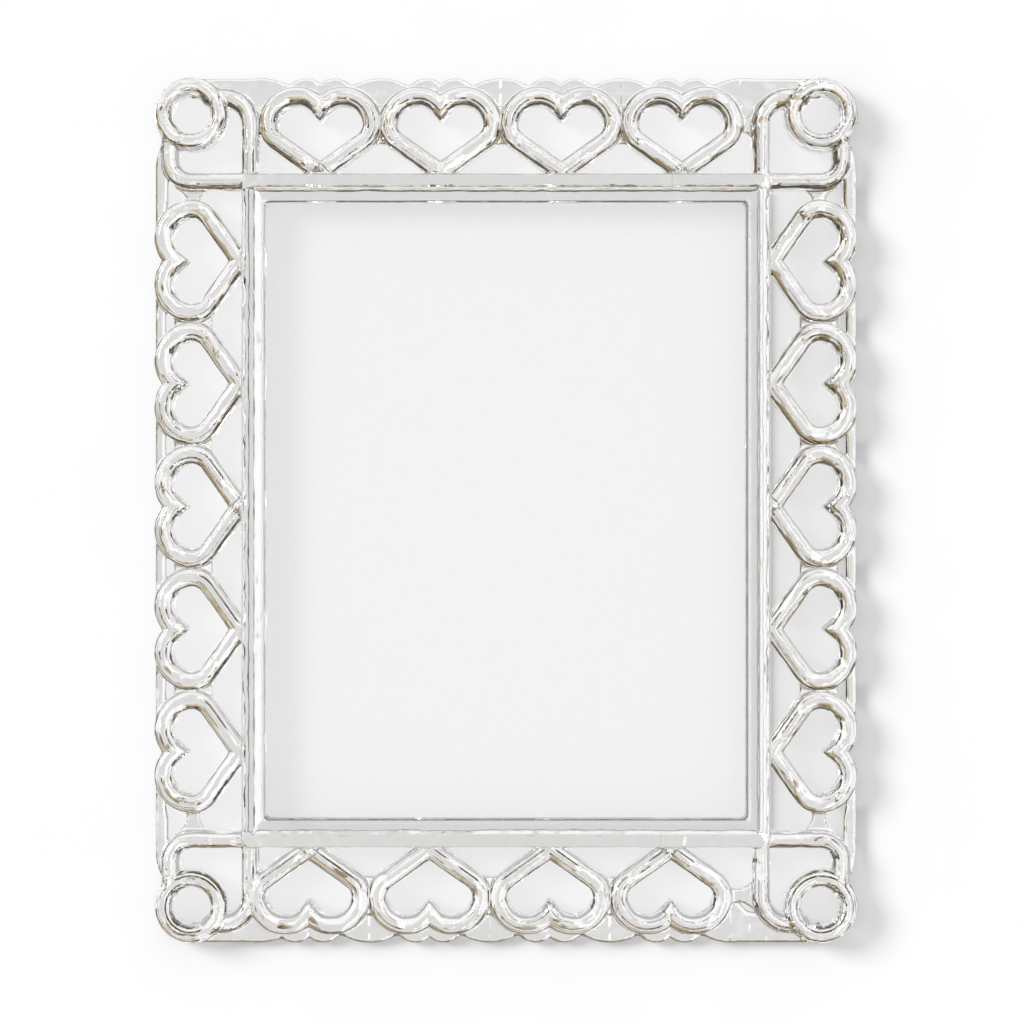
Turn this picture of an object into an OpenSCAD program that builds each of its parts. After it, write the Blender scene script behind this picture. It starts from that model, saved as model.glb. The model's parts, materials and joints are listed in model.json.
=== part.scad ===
// Clear acrylic photo frame: an openwork border of hearts and corner knots round a
// rebated window, with a pane, a blank insert, a backing board and a hinged easel leg.
// The frame is drawn flat, face up, with its back on z = 0, and stand() then sets it
// on its bottom edge, leaning back on the open leg, with its face towards -Y.

/* [Overall] */
// Lean back from upright, in degrees
lean = 14; // [10:1:18]
// Width of the openwork border beside a side rail
border_side = 34.9; // [33.5:0.1:36]
// Height of the openwork border over a top or bottom rail
border_end = 38.4; // [37:0.1:40]

/* [Picture] */
// Width of the picture that the frame takes
picture_w = 203.2; // [195:0.1:206]
// Height of the picture that the frame takes
picture_h = 254; // [246:0.1:258]
// Room round the picture in its rebate, each side
picture_play = 0.6; // [0.3:0.1:1]
// Width of the picture that a side rail covers
cover_side = 7.1; // [5:0.1:7.4]
// Height of the picture that a top or bottom rail covers
cover_end = 5.8; // [4:0.1:7]

/* [Rails] */
// Width of the side rails, seen from the front
rail_side_w = 9.6; // [9:0.1:11]
// Width of the top and bottom rails, seen from the front
rail_end_w = 11.4; // [10:0.1:13]
// Depth of the rails, back to front
rail_d = 18; // [15:0.5:22]
// Radius of the rails' outer corners
rail_corner_r = 4.5; // [2:0.5:6]

/* [Hearts] */
// Width of the strand that the hearts are bent from
strand_w = 7.7; // [6.5:0.1:8.2]
// Depth of that strand, back to crest
strand_d = 14; // [10:0.5:15]
// Radius of a lobe, as a share of the heart's half width
lobe_share = 0.556; // [0.54:0.002:0.58]
// Radius of the bend below a lobe, as a share of the heart's half width
side_share = 0.39; // [0.3:0.005:0.45]
// Distance of the tip from the rail, on the middle of the strand
tip_y = 0.9; // [0:0.1:2]
// How far neighbouring hearts of the top and bottom rows run into each other
merge_end = 0.55; // [0.2:0.05:0.8]
// How far neighbouring hearts of the side rows run into each other
merge_side = 0.15; // [0.1:0.05:0.8]
// Height of the rim over the lobes at the top and the bottom
rim_over_end = 3.55; // [3:0.05:4.5]
// Room between the lobes and the outline down the sides
rim_over_side = 0.05; // [0.05:0.05:0.5]
// Gap between the left knot and the top row
top_lead = 0; // [0:0.1:2]
// Gap between the top row and the right knot
top_trail = 4; // [3:0.1:6]
// Gap between the left knot and the bottom row, less than zero where they merge
bottom_lead = -4.4; // [-5:0.1:0]
// Gap between the bottom row and the right knot
bottom_trail = 8.4; // [6:0.1:10]
// Gap between a side row and the knot above it
side_lead = 3.6; // [2:0.1:5]
// Gap between a side row and the knot below it
side_trail = 6.8; // [5:0.1:9]

/* [Knots] */
// How far a corner knot laps over the end of a top or bottom rail
knot_lap_side = 6.9; // [6:0.1:7.3]
// How far a corner knot laps over the end of a side rail
knot_lap_end = 6.4; // [6:0.1:7.3]
// Width of the knots' strands
knot_strand_w = 7.3; // [6.5:0.1:8]
// Depth of a knot's ring, back to crest
ring_d = 15; // [12:0.5:16]
// Radius of a knot's ring, to the middle of the strand
ring_r = 11.1; // [10.5:0.1:12]
// How far in the loop's outer strands lie, as shares of the knot's width and height
loop_in_side_share = 0.1555; // [0.14:0.0005:0.17]
loop_in_end_share = 0.1763; // [0.165:0.0001:0.185]
// Depth of a knot's loop, back to crest
loop_d = 13; // [10:0.5:14]
// Radius of the loop's bend beside the first heart of the row
loop_far_r = 11; // [9:0.1:12]
// Radius of the loop's bend beside the first heart of the side
loop_near_r = 8.5; // [7:0.1:11]

/* [Rim] */
// Depth of the thin outer rim, back to front
rim_d = 6; // [4:0.5:8]
// Width of the straight rim down the sides
rim_side_w = 3.8; // [3:0.1:4.5]
// Width of the scalloped rim at its narrowest
rim_end_w = 4.4; // [3.5:0.1:5.5]
// Height of a scallop over the narrow part of the rim
scallop_h = 2.8; // [1:0.1:3]
// Radius of the wide scallops between the hearts, as a share of the hearts' spacing
scallop_share = 0.462; // [0.35:0.002:0.6]
// Radius of the small petals at a heart's notch, as a share of the hearts' spacing
petal_share = 0.19; // [0.15:0.002:0.23]
// Distance of a petal's middle from the heart's axis, as a share of the same
petal_out_share = 0.118; // [0.1:0.002:0.135]
// Width of a short link between a knot and the heart beside it
link_w = 5; // [4:0.1:6]
// Depth of that link
link_d = 9; // [6:0.5:11]

/* [Contents] */
// Thickness of the clear pane
pane_t = 2; // [1.5:0.1:2.5]
// Thickness of the blank insert
insert_t = 0.4; // [0.3:0.1:0.8]
// Thickness of the backing board
board_t = 3; // [2:0.1:4]
// Play of the contents under the rails' lip
lip_play = 0.1; // [0.05:0.05:0.3]
// Gap round the pane, insert and board inside the rebate's own play
board_trim = 0.3; // [0.1:0.1:0.5]

/* [Easel] */
// Distance of the leg's hinge below the board's top edge
hinge_down = 77.3; // [60:0.1:95]
// Angle of the open leg from upright, in degrees
leg_splay = 13; // [10:1:16]
// Thickness of the leg
leg_t = 3; // [2.5:0.1:4]
// Width of the leg at its hinge
leg_top_w = 36; // [32:1:44]
// Width of the leg at its foot
leg_foot_w = 58; // [44:1:66]
// Radius of the leg's lower corners
leg_corner_r = 6; // [3:0.5:8]
// Thickness of the hinge's plates
plate_t = 1.1; // [0.9:0.1:1.4]
// Radius of the hinge's knuckles
knuckle_r = 2.6; // [2.4:0.1:3]
// Radius of the hinge's pin
pin_r = 1.25; // [1:0.05:1.4]
// Running clearance round a pin or pivot
pivot_play = 0.05; // [0.03:0.01:0.08]
// Width of the hinge plate
plate_w = 34; // [32:1:38]
// Height of the hinge plate
plate_h = 24; // [20:1:28]
// Length of the middle knuckle
mid_knuckle = 14; // [12:1:18]
// Length of each outer knuckle
end_knuckle = 6; // [5:0.5:8]
// Gap between two knuckles, and of the folded leg to the frame's back
hinge_gap = 0.3; // [0.2:0.05:0.5]
// Radius of a rivet
rivet_r = 1.4; // [1.2:0.1:1.6]
// Radius of a rivet's head
rivet_head_r = 2.6; // [2.2:0.1:3]
// Height of a rivet's head
rivet_head_h = 0.9; // [0.6:0.1:1.2]

/* [Turn buttons] */
// Width of a turn button
button_w = 7; // [6:0.5:8]
// Thickness of a turn button
button_t = 1.5; // [1.2:0.1:2]
// How far a turn button laps over the board
button_lap = 5.5; // [4:0.5:8]
// Gap behind and in front of a turn button
button_gap = 0.1; // [0.05:0.05:0.2]
// Distance of a button's pivot from the rail, towards the heart
pivot_out = 2.4; // [1.8:0.1:2.8]
// Radius of a button's clear pin
stud_r = 1.1; // [0.9:0.05:1.3]
// Depth that a pin reaches into the moulding
stud_reach = 6; // [4:0.5:8]
// Radius of a pin's head
stud_head_r = 2.4; // [2:0.1:2.8]
// Height of a pin's head
stud_head_h = 1.3; // [1:0.1:1.6]

/* [Hanger] */
// Length of the sawtooth hanger
hanger_w = 44; // [36:1:52]
// Height of the hanger's strip
hanger_h = 8; // [6:0.5:10]
// Thickness of the hanger's strip
hanger_t = 0.8; // [0.6:0.1:1.2]
// How far the hanger's middle stands off the board
hanger_off = 1.6; // [1:0.1:2.4]
// Distance of the hanger below the board's top edge
hanger_down = 14; // [10:1:20]
// Number of teeth along the hanger
hanger_teeth = 7; // [5:2:11]
// Depth of a tooth
tooth_h = 1.6; // [1:0.1:2]
// Radius of a hanger nail
nail_r = 0.7; // [0.6:0.05:0.9]
// Radius of a nail's head
nail_head_r = 1.7; // [1.4:0.1:2]
// Height of a nail's head
nail_head_h = 0.6; // [0.4:0.1:0.8]

/* [Hidden] */
TOP_HEARTS = 4;
SIDE_HEARTS = 5;
$fn = 48;

// One overrun serves every cut
over = 1;

// Half sizes of the sight opening, the rails, the whole frame and the rebate
sight_x = picture_w / 2 - cover_side;
sight_y = picture_h / 2 - cover_end;
rail_x = sight_x + rail_side_w;
rail_y = sight_y + rail_end_w;
half_w = rail_x + border_side;
half_h = rail_y + border_end;
rebate_x = picture_w / 2 + picture_play;
rebate_y = picture_h / 2 + picture_play;
lip_z = board_t + insert_t + pane_t + lip_play;
content_w = picture_w + 2 * picture_play - 2 * board_trim;
content_h = picture_h + 2 * picture_play - 2 * board_trim;

// Size of a knot, and its faces that the rows of hearts start and end on
knot_w = border_side + knot_lap_side;
knot_h = border_end + knot_lap_end;
knot_x = half_w - knot_w;
knot_y = half_h - knot_h;

// Spacing of the hearts along each row
pitch_top = (2 * knot_x - top_lead - top_trail) / TOP_HEARTS;
pitch_bottom = (2 * knot_x - bottom_lead - bottom_trail) / TOP_HEARTS;
pitch_side = (2 * knot_y - side_lead - side_trail) / SIDE_HEARTS;

// Radii that are worked out are rounded, so that the bends' end faces meet
fine_step = 0.001;
function to_step(value) = round(value / fine_step) * fine_step;

// A row's hearts: their spacing, the border that they fill, half their width to the
// middle of the strand, the radius of their lobes and the height of those over the rail
function row_shape(pitch, border, merge, rim_over) =
    let (bulge = pitch / 2 + merge - strand_w / 2)
    let (lobe_r = to_step(bulge * lobe_share))
    [pitch, border, bulge, lobe_r, border - rim_over - strand_w / 2 - lobe_r];
top_shape = row_shape(pitch_top, border_end, merge_end, rim_over_end);
bottom_shape = row_shape(pitch_bottom, border_end, merge_end, rim_over_end);
side_shape = row_shape(pitch_side, border_side, merge_side, rim_over_side);

// Outline of a strand, as shares of its half width and of its depth
strand_shares = [
    [-1, 0], [-0.97, 0.66], [-0.84, 0.86], [-0.55, 0.97], [-0.15, 1],
    [0.15, 1], [0.55, 0.97], [0.84, 0.86], [0.97, 0.66], [1, 0]
];

// Front outline of a rail, as shares of its width from the sight edge and of its depth
rail_shares = [
    [0, 0.84], [0.03, 0.91], [0.1, 0.95], [0.4, 0.98],
    [0.6, 1], [0.84, 1], [0.95, 0.95], [1, 0.84]
];

// How far a flank runs into its bend, and how much slimmer it is on each face
flank_lap = 0.5;
flank_trim = 0.05;

// A lobe's bend runs on past the heart's axis, where the other half meets it
lobe_sweep = 165;
half_turn = 180;
quarter_turn = 90;

// Middle line of a knot's loop, measured inwards from the frame's outer corner
loop_far_x = knot_w - knot_strand_w / 2;
loop_far_y = knot_h - knot_strand_w / 2;
loop_near_x = knot_w * loop_in_side_share;
loop_near_y = knot_h * loop_in_end_share;

// Hinge of the leg, as a place on the flat frame
plate_back = -plate_t;
hinge_y = content_h / 2 - hinge_down;
hinge_up = hinge_y + half_h;
hinge_z = plate_back - knuckle_r;
leg_open = lean + leg_splay;
leg_reach = (hinge_up * cos(lean) + hinge_z * sin(lean)) / cos(leg_splay);

// The box of the standing frame runs from the crest of the lowest rings to the foot
crest_in = knot_strand_w / 2 * (1 - strand_shares[5].x);
front_reach = ring_d * cos(lean) - crest_in * sin(lean);
foot_reach = hinge_up * sin(lean) - hinge_z * cos(lean)
    + leg_reach * sin(leg_splay) + leg_t / 2 / cos(leg_splay);
stand_y = (front_reach - foot_reach) / 2;

acrylic = [0.9, 0.92, 0.92, 0.6];
steel = [0.75, 0.76, 0.78];

// Sets the flat frame on its bottom edge, leaning back
module stand() {
    translate([0, stand_y, 0])
        rotate([90 - lean, 0, 0])
            translate([0, half_h, 0])
                children();
}

// Swings the leg's parts, drawn folded, to the open stance
module opened() {
    translate([0, hinge_y, hinge_z])
        rotate([leg_open, 0, 0])
            translate([0, -hinge_y, -hinge_z])
                children();
}

// Turns a part drawn over the top edge to another side
module on_side(turn) {
    rotate([0, 0, turn])
        children();
}

module strand_outline(w, d) {
    polygon([for (s = strand_shares) [s.x * w / 2, s.y * d]]);
}

// A straight length of strand from a point, in a direction
module strand_run(from, heading, length, w, d) {
    translate([from.x, from.y, 0])
        rotate([90, 0, 90 + heading])
            linear_extrude(length)
                strand_outline(w, d);
}

// A bend of strand about a centre, between two angles
module strand_bend(centre, r, a0, a1, w, d) {
    translate([centre.x, centre.y, 0])
        rotate([0, 0, a0])
            rotate_extrude(angle = a1 - a0)
                translate([r, 0])
                    strand_outline(w, d);
}

// Right half of a heart ring, cut on the heart's axis: its straight flank runs from
// the bend below the lobe to the tip, and a little past each. It is a hair slimmer than
// the bend, so that its end lies inside it.
module half_ring(shape) {
    bulge = shape[2];
    lobe_r = shape[3];
    lobe_y = shape[4];
    side_r = to_step(bulge * side_share);
    tip_to = [bulge - side_r, lobe_y - tip_y];
    flank_a = atan2(tip_to.y, tip_to.x) - asin(side_r / norm(tip_to));
    flank_l = norm(tip_to);
    bend_a = quarter_turn - flank_a;
    intersection() {
        union() {
            translate([bulge - side_r, lobe_y, 0]) {
                rotate([0, 0, -bend_a])
                    strand_run([side_r, flank_lap], -quarter_turn, flank_l + flank_lap,
                        strand_w - 2 * flank_trim, strand_d - flank_trim);
                mirror([0, 1, 0])
                    strand_bend([0, 0], side_r, 0, bend_a, strand_w, strand_d);
            }
            strand_bend([bulge - lobe_r, lobe_y], lobe_r, 0, lobe_sweep, strand_w, strand_d);
        }
        translate([0, -strand_w, -over])
            cube([bulge + strand_w, shape[1] + 2 * strand_w, strand_d + 2 * over]);
    }
}

module heart_ring(shape) {
    half_ring(shape);
    mirror([1, 0, 0])
        half_ring(shape);
}

// Plan of the straight rim of a side
module side_rim_plan(lo, hi) {
    translate([lo, border_side - rim_side_w])
        square([hi - lo, rim_side_w - strand_w / 8]);
}

// Plan of the scalloped rim of the top or bottom, about one heart
module end_rim_plan(lo, hi, shape) {
    lobe_r = shape[3];
    lobe_y = shape[4];
    petal_r = shape[0] * petal_share;
    petal_x = shape[0] * petal_out_share;
    scallop_r = shape[0] * scallop_share;
    rim_top = border_end - scallop_h;
    web_foot = lobe_y + strand_w / 4;
    web_shoulder = lobe_y + lobe_r;
    translate([lo, rim_top - rim_end_w])
        square([hi - lo, rim_end_w]);
    for (s = [-1, 1]) {
        intersection() {
            translate([s * petal_x, border_end - petal_r])
                circle(petal_r);
            translate([-border_end, web_shoulder])
                square([2 * border_end, border_end]);
        }
        translate([s * shape[0] / 2, 0]) {
            polygon([
                [-strand_w / 3, web_foot], [strand_w / 3, web_foot],
                [lobe_r, web_shoulder], [lobe_r, rim_top - rim_end_w / 2],
                [-lobe_r, rim_top - rim_end_w / 2], [-lobe_r, web_shoulder]
            ]);
            intersection() {
                translate([0, border_end - scallop_r])
                    circle(scallop_r);
                translate([-lobe_r, web_shoulder])
                    square([2 * lobe_r, border_end]);
            }
        }
    }
}

// One heart with its share of the rim, cut where it meets its neighbours and the rail
module heart_cell(lo, hi, shape, straight_rim, lo_gap, hi_gap) {
    bulge = shape[2];
    link_y = shape[4] - link_w / 2;
    intersection() {
        union() {
            heart_ring(shape);
            linear_extrude(rim_d) {
                if (straight_rim) {
                    side_rim_plan(lo, hi);
                } else {
                    end_rim_plan(lo, hi, shape);
                }
            }
            if (hi_gap) {
                translate([bulge, link_y, 0])
                    cube([hi - bulge, link_w, link_d]);
            }
            if (lo_gap) {
                translate([lo, link_y, 0])
                    cube([-bulge - lo, link_w, link_d]);
            }
        }
        translate([lo, 0, -over])
            cube([hi - lo, shape[1], strand_d + 2 * over]);
    }
}

// Hole for a button's pin in a heart's tip
module pilot_hole() {
    translate([0, pivot_out, -over])
        cylinder(r = stud_r, h = stud_reach + over);
}

// Places of the hearts along a row, and the cells' ends
function row_at(lead, pitch, i) = lead + pitch / 2 + i * pitch;
function cell_lo(lead, pitch, i) = i == 0 ? -row_at(lead, pitch, i) : -pitch / 2;
function cell_hi(lead, pitch, count, span, i) =
    i == count - 1 ? span - row_at(lead, pitch, i) : pitch / 2;

// A heart of the top or bottom row, counted from the left
module end_heart(i, bottom, pilot) {
    span = 2 * knot_x;
    lead = bottom ? bottom_lead : top_lead;
    shape = bottom ? bottom_shape : top_shape;
    lo = cell_lo(lead, shape[0], i);
    hi = cell_hi(lead, shape[0], TOP_HEARTS, span, i);
    color(acrylic)
        stand()
            mirror([0, bottom ? 1 : 0, 0])
                translate([row_at(lead, shape[0], i) - knot_x, rail_y, 0])
                    difference() {
                        heart_cell(lo, hi, shape, false, i == 0 && lead > 0,
                            i == TOP_HEARTS - 1);
                        if (pilot) {
                            pilot_hole();
                        }
                    }
}

// A heart of the left or right row, counted from the top
module side_heart(i, right, pilot) {
    span = 2 * knot_y;
    lo = cell_lo(side_lead, pitch_side, i);
    hi = cell_hi(side_lead, pitch_side, SIDE_HEARTS, span, i);
    color(acrylic)
        stand()
            mirror([right ? 0 : 1, 0, 0])
                on_side(-quarter_turn)
                    translate([row_at(side_lead, pitch_side, i) - knot_y, rail_x, 0])
                        difference() {
                            heart_cell(lo, hi, side_shape, true, i == 0,
                                i == SIDE_HEARTS - 1);
                            if (pilot) {
                                pilot_hole();
                            }
                        }
}

// A corner knot, drawn inwards from the outer corner: a ring laced with a loop
module knot_shape() {
    rim_h = rim_end_w + scallop_h;
    ring_c = [ring_r + knot_strand_w / 2, ring_r + knot_strand_w / 2];
    far_c = [loop_far_x - loop_far_r, loop_near_y + loop_far_r];
    near_c = [loop_near_x + loop_near_r, loop_far_y - loop_near_r];
    rail_at = [border_side, border_end];
    strand_bend(ring_c, ring_r, 0, 2 * half_turn, knot_strand_w, ring_d);
    strand_run([ring_c.x + ring_r * 0.65, loop_near_y], 0,
        far_c.x - ring_c.x - ring_r * 0.65, knot_strand_w, loop_d);
    strand_bend(far_c, loop_far_r, -quarter_turn, 0, knot_strand_w, loop_d);
    strand_run([loop_far_x, far_c.y], 90, rail_at.y - far_c.y, knot_strand_w, loop_d);
    strand_run([near_c.x, loop_far_y], 0, rail_at.x - near_c.x, knot_strand_w, loop_d);
    strand_bend(near_c, loop_near_r, quarter_turn, half_turn, knot_strand_w, loop_d);
    strand_run([loop_near_x, ring_c.y + ring_r * 0.65], 90,
        near_c.y - ring_c.y - ring_r * 0.65, knot_strand_w, loop_d);
    translate([ring_c.x, 0, 0])
        cube([knot_w - ring_c.x, rim_h, rim_d]);
    translate([strand_w / 8, ring_c.y + ring_r, 0])
        cube([rim_side_w - strand_w / 8, knot_h - ring_c.y - ring_r, rim_d]);
}

module knot(right, bottom) {
    color(acrylic)
        stand()
            mirror([right ? 1 : 0, 0, 0])
                mirror([0, bottom ? 0 : 1, 0])
                    translate([-half_w, -half_h, 0])
                        knot_shape();
}

// Plan of the rails with rounded outer corners
module rail_plan() {
    core_x = rail_x - rail_corner_r;
    core_y = rail_y - rail_corner_r;
    square([2 * rail_x, 2 * core_y], center = true);
    square([2 * core_x, 2 * rail_y], center = true);
    for (sx = [-1, 1], sy = [-1, 1]) {
        translate([sx * core_x, sy * core_y])
            circle(rail_corner_r);
    }
}

// One rail over the top edge: mitred, with the rebate behind its lip
module rail_bar(sight, outer, rebate, outer_half) {
    w = outer - sight;
    rotate([90, 0, 90])
        translate([0, 0, -outer_half])
            linear_extrude(2 * outer_half)
                polygon(concat(
                    [for (s = rail_shares) [sight + s.x * w, s.y * rail_d]],
                    [[outer, 0], [rebate, 0], [rebate, lip_z], [sight, lip_z]]
                ));
}

// Mitre of a rail: a trapezium from the sight edge to the outer edge
module mitre(sight, outer, sight_half, outer_half) {
    polygon([
        [-sight_half, sight], [sight_half, sight],
        [outer_half, outer], [-outer_half, outer]
    ]);
}

module rail(turn, sight, outer, rebate, sight_half, outer_half) {
    color(acrylic)
        stand()
            intersection() {
                on_side(turn)
                    rail_bar(sight, outer, rebate, outer_half);
                translate([0, 0, -over])
                    linear_extrude(rail_d + 2 * over)
                        intersection() {
                            on_side(turn)
                                mitre(sight, outer, sight_half, outer_half);
                            rail_plan();
                        }
            }
}

module end_rail(turn) {
    rail(turn, sight_y, rail_y, rebate_y, sight_x, rail_x);
}

module side_rail(turn) {
    rail(turn, sight_x, rail_x, rebate_x, sight_y, rail_y);
}

// A flat sheet of the contents, at a height over the back
module sheet(z, t) {
    translate([-content_w / 2, -content_h / 2, z])
        cube([content_w, content_h, t]);
}

module window_pane() {
    color([0.85, 0.95, 0.95, 0.35])
        stand()
            sheet(board_t + insert_t, pane_t);
}

module blank_insert() {
    color([0.95, 0.95, 0.95])
        stand()
            sheet(board_t, insert_t);
}

// Places of the hinge plate's four rivets, from the hinge's axis
plate_rivets = [for (sx = [-1, 1], sy = [1, 2])
    [sx * plate_w * 0.34, knuckle_r + sy * plate_h * 0.3]];
// Places of the bracket's two rivets, below the hinge's axis
bracket_rivets = [for (sx = [-1, 1])
    [sx * mid_knuckle * 0.32, -knuckle_r - plate_h * 0.45]];
// Places of the hanger's two nails
hanger_y = content_h / 2 - hanger_down;
hanger_nail_x = hanger_w / 2 - hanger_h * 0.35;

module backing_board() {
    color([0.93, 0.93, 0.91])
        stand()
            difference() {
                sheet(0, board_t);
                for (p = plate_rivets) {
                    translate([p.x, hinge_y + p.y, -over])
                        cylinder(r = rivet_r, h = board_t + 2 * over);
                }
                for (s = [-1, 1]) {
                    translate([s * hanger_nail_x, hanger_y, -over])
                        cylinder(r = nail_r, h = board_t / 2 + over);
                }
            }
}

// Barrel of a knuckle along X with its bore, tied to a plate in front or behind
module knuckle(x, length, tie_z, tie_t) {
    difference() {
        union() {
            translate([x, hinge_y, hinge_z])
                rotate([0, 90, 0])
                    cylinder(r = knuckle_r, h = length);
            translate([x, hinge_y - knuckle_r, min(tie_z, hinge_z)])
                cube([length, 2 * knuckle_r, abs(tie_z - hinge_z)]);
        }
        translate([x - over, hinge_y, hinge_z])
            rotate([0, 90, 0])
                cylinder(r = pin_r + pivot_play, h = length + 2 * over);
    }
}

// Fixed half of the hinge, riveted to the board
module hinge_plate() {
    first_x = mid_knuckle / 2 + hinge_gap;
    color(steel)
        stand() {
            difference() {
                translate([-plate_w / 2, hinge_y - knuckle_r, plate_back])
                    cube([plate_w, plate_h, plate_t]);
                for (p = plate_rivets) {
                    translate([p.x, hinge_y + p.y, plate_back - over])
                        cylinder(r = rivet_r, h = plate_t + 2 * over);
                }
            }
            knuckle(first_x, end_knuckle, plate_back, plate_t);
            knuckle(-first_x - end_knuckle, end_knuckle, plate_back, plate_t);
        }
}

// A rivet through a stack, with a head at its back and a flush front
module rivet(back_z, front_z) {
    translate([0, 0, back_z])
        cylinder(r = rivet_r, h = front_z - back_z);
    translate([0, 0, back_z - rivet_head_h])
        cylinder(r1 = rivet_head_r * 0.7, r2 = rivet_head_r, h = rivet_head_h);
}

module hinge_rivets() {
    color(steel)
        stand()
            for (p = plate_rivets) {
                translate([p.x, hinge_y + p.y, 0])
                    rivet(plate_back, board_t);
            }
}

module hinge_pin() {
    pin_l = mid_knuckle + 2 * end_knuckle + 2 * hinge_gap;
    head_t = plate_t;
    color(steel)
        stand()
            translate([-pin_l / 2, hinge_y, hinge_z])
                rotate([0, 90, 0]) {
                    cylinder(r = pin_r, h = pin_l);
                    translate([0, 0, -head_t])
                        cylinder(r = knuckle_r * 0.8, h = head_t);
                    translate([0, 0, pin_l])
                        cylinder(r = knuckle_r * 0.8, h = head_t);
                }
}

leg_front = hinge_z + leg_t / 2;
leg_back = hinge_z - leg_t / 2;
leg_head = hinge_y - knuckle_r - hinge_gap;

// The bracket's stop bears on the fixed plate when the leg is open
stop_reach = (knuckle_r - pivot_play) / sin(leg_open);
stop_root = (pin_r + knuckle_r) / 2;

// Moving half of the hinge: a knuckle, a stop above it and a plate behind the leg
module leg_bracket() {
    color(steel)
        stand()
            opened()
                difference() {
                    union() {
                        knuckle(-mid_knuckle / 2, mid_knuckle, leg_back - plate_t, plate_t);
                        translate([-mid_knuckle / 2, hinge_y - plate_h, leg_back - plate_t])
                            cube([mid_knuckle, plate_h, plate_t]);
                        translate([-mid_knuckle / 2, hinge_y + stop_root, hinge_z - plate_t])
                            cube([mid_knuckle, stop_reach - stop_root, plate_t]);
                    }
                    for (p = bracket_rivets) {
                        translate([p.x, hinge_y + p.y, leg_back - plate_t - over])
                            cylinder(r = rivet_r, h = plate_t + 2 * over);
                    }
                }
}

module leg_rivets() {
    color(steel)
        stand()
            opened()
                for (p = bracket_rivets) {
                    translate([p.x, hinge_y + p.y, 0])
                        rivet(leg_back - plate_t, leg_front);
                }
}

// Plan of the leg: it widens towards its foot, whose corners are rounded
module leg_plan() {
    foot_y = hinge_y - leg_reach - leg_t;
    polygon([
        [-leg_top_w / 2, leg_head], [leg_top_w / 2, leg_head],
        [leg_foot_w / 2, foot_y + leg_corner_r], [leg_foot_w / 2 - leg_corner_r, foot_y],
        [-leg_foot_w / 2 + leg_corner_r, foot_y], [-leg_foot_w / 2, foot_y + leg_corner_r]
    ]);
}

// The leg's foot is cut level with the table when the leg is open
module easel_leg() {
    color(acrylic)
        difference() {
            stand()
                opened()
                    difference() {
                        translate([0, 0, leg_back])
                            linear_extrude(leg_t)
                                leg_plan();
                        for (p = bracket_rivets) {
                            translate([p.x, hinge_y + p.y, leg_back - over])
                                cylinder(r = rivet_r, h = leg_t + 2 * over);
                        }
                    }
            translate([-leg_foot_w, -2 * half_h, -2 * half_h])
                cube([2 * leg_foot_w, 4 * half_h, 2 * half_h]);
        }
}

// Places of the six turn buttons: angle of the side, place along it, rail and board edges
end_at = [
    row_at(top_lead, pitch_top, 0) - knot_x,
    row_at(top_lead, pitch_top, TOP_HEARTS - 1) - knot_x,
    row_at(bottom_lead, pitch_bottom, 0) - knot_x,
    row_at(bottom_lead, pitch_bottom, TOP_HEARTS - 1) - knot_x
];
side_at = knot_y - row_at(side_lead, pitch_side, (SIDE_HEARTS - 1) / 2);
buttons = [
    [0, end_at[0], rail_y, content_h / 2],
    [0, end_at[1], rail_y, content_h / 2],
    [half_turn, -end_at[2], rail_y, content_h / 2],
    [half_turn, -end_at[3], rail_y, content_h / 2],
    [quarter_turn, side_at, rail_x, content_w / 2],
    [-quarter_turn, -side_at, rail_x, content_w / 2]
];

// A turn button lies across the rail, from its pivot to over the board
module turn_button(b) {
    reach = b[2] + pivot_out - b[3] + button_lap;
    color(acrylic)
        stand()
            on_side(b[0])
                translate([b[1], b[2] + pivot_out, -button_gap - button_t])
                    linear_extrude(button_t)
                        difference() {
                            union() {
                                circle(button_w / 2);
                                translate([-button_w / 2, button_w / 2 - reach])
                                    square([button_w, reach - button_w / 2]);
                                translate([0, button_w / 2 - reach])
                                    circle(button_w / 2);
                            }
                            circle(stud_r + pivot_play);
                        }
}

module button_pins() {
    head_z = -2 * button_gap - button_t;
    color(acrylic)
        stand()
            for (b = buttons) {
                on_side(b[0])
                    translate([b[1], b[2] + pivot_out, 0]) {
                        translate([0, 0, head_z])
                            cylinder(r = stud_r, h = stud_reach - head_z);
                        translate([0, 0, head_z - stud_head_h])
                            cylinder(r1 = stud_head_r * 0.7, r2 = stud_head_r, h = stud_head_h);
                    }
            }
}

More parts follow.
